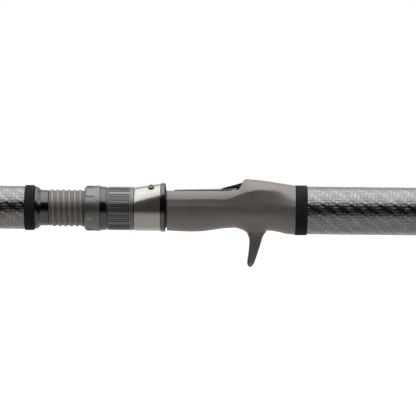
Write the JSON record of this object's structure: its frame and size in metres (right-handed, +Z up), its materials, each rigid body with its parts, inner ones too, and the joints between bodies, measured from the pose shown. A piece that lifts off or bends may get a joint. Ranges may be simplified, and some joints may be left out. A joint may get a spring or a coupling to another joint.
{
  "type": "casting rod handle with reel seat",
  "caption": "Casting fishing rod handle with carbon grips and a trigger reel seat whose threaded nut slides a steel hood to clamp a reel's foot.",
  "frame": {"origin": "centre of the butt cap's flat end face, on the axis of the rod", "axes": "+X along the rod toward the butt end (the tip is toward -X), +Z up, the side the reel sits on, with the trigger toward -Z; +Y is the far side"},
  "size_m": [0.361, 0.0266, 0.0469],
  "materials": {
    "graphite": "clear-coated carbon blank",
    "carbon_weave": "2/2 twill carbon under clear resin",
    "seat_plastic": "satin moulded taupe-grey plastic",
    "nut_plastic": "satin moulded dark-grey plastic",
    "gloss_black": "gloss black moulded plastic",
    "liner_plastic": "matte black plastic",
    "hood_steel": "polished thin stainless steel",
    "rivet_steel": "dark satin steel",
    "collar_metal": "gloss gunmetal anodised",
    "eva_black": "fine-grained black EVA foam",
    "grip_core_foam": "rigid foam core, hidden",
    "arbor_foam": "rigid foam arbor, hidden",
    "wrap_thread": "black thread under varnish"
  },
  "bodies": {
    "handle": {"blank_tube": "graphite", "spigot_ferrule": "graphite", "ferrule_wrap": "wrap_thread", "winding_check": "collar_metal", "fore_grip_front_ring": "eva_black", "fore_grip_core": "grip_core_foam", "fore_grip_sleeve": "carbon_weave", "fore_grip_rear_ring": "eva_black", "thread_collar": "collar_metal", "reel_seat_body": "seat_plastic", "seat_arbor_front": "arbor_foam", "seat_arbor_middle": "arbor_foam", "seat_arbor_rear": "arbor_foam", "foot_bed_gasket": "liner_plastic", "foot_bed_plate": "seat_plastic", "rear_hood_liner": "liner_plastic", "rear_grip_front_ring": "eva_black", "rear_grip_core": "grip_core_foam", "rear_grip_sleeve": "carbon_weave", "rear_grip_end_ring": "eva_black", "butt_cap": "gloss_black", "butt_plug": "grip_core_foam"},
    "hood": {"hood_shell": "hood_steel", "hood_liner": "gloss_black", "hood_rivet_near": "rivet_steel", "hood_rivet_far": "rivet_steel"},
    "hood_nut": {"hood_nut": "nut_plastic"},
    "jam_washer": {"jam_washer": "nut_plastic"},
    "jam_nut": {"jam_nut": "nut_plastic", "jam_nut_trim_ring": "gloss_black"}
  },
  "joints": [
    {"name": "hood_slide", "type": "slide", "parent": "handle", "child": "hood", "axis": [-1, 0, 0], "range_m": [-0.00026, 0.01801]},
    {"name": "lock_nut_turn", "type": "hinge", "parent": "hood", "child": "hood_nut", "pos_m": [-0.222, 0, 0], "axis": [-1, 0, 0], "range_deg": [-30, 2160]},
    {"name": "jam_washer_slide", "type": "slide", "parent": "handle", "child": "jam_washer", "axis": [-1, 0, 0], "range_m": [-0.00026, 0.01801]},
    {"name": "jam_nut_turn", "type": "hinge", "parent": "jam_washer", "child": "jam_nut", "pos_m": [-0.235, 0, 0], "axis": [-1, 0, 0], "range_deg": [-31, 2161]}
  ],
  "couplings": [
    {"joint": "hood_slide", "follows": "lock_nut_turn", "m_per_rad": 0.00047746},
    {"joint": "jam_washer_slide", "follows": "lock_nut_turn", "m_per_rad": 0.00047746},
    {"joint": "jam_nut_turn", "follows": "lock_nut_turn", "ratio": 1}
  ]
}
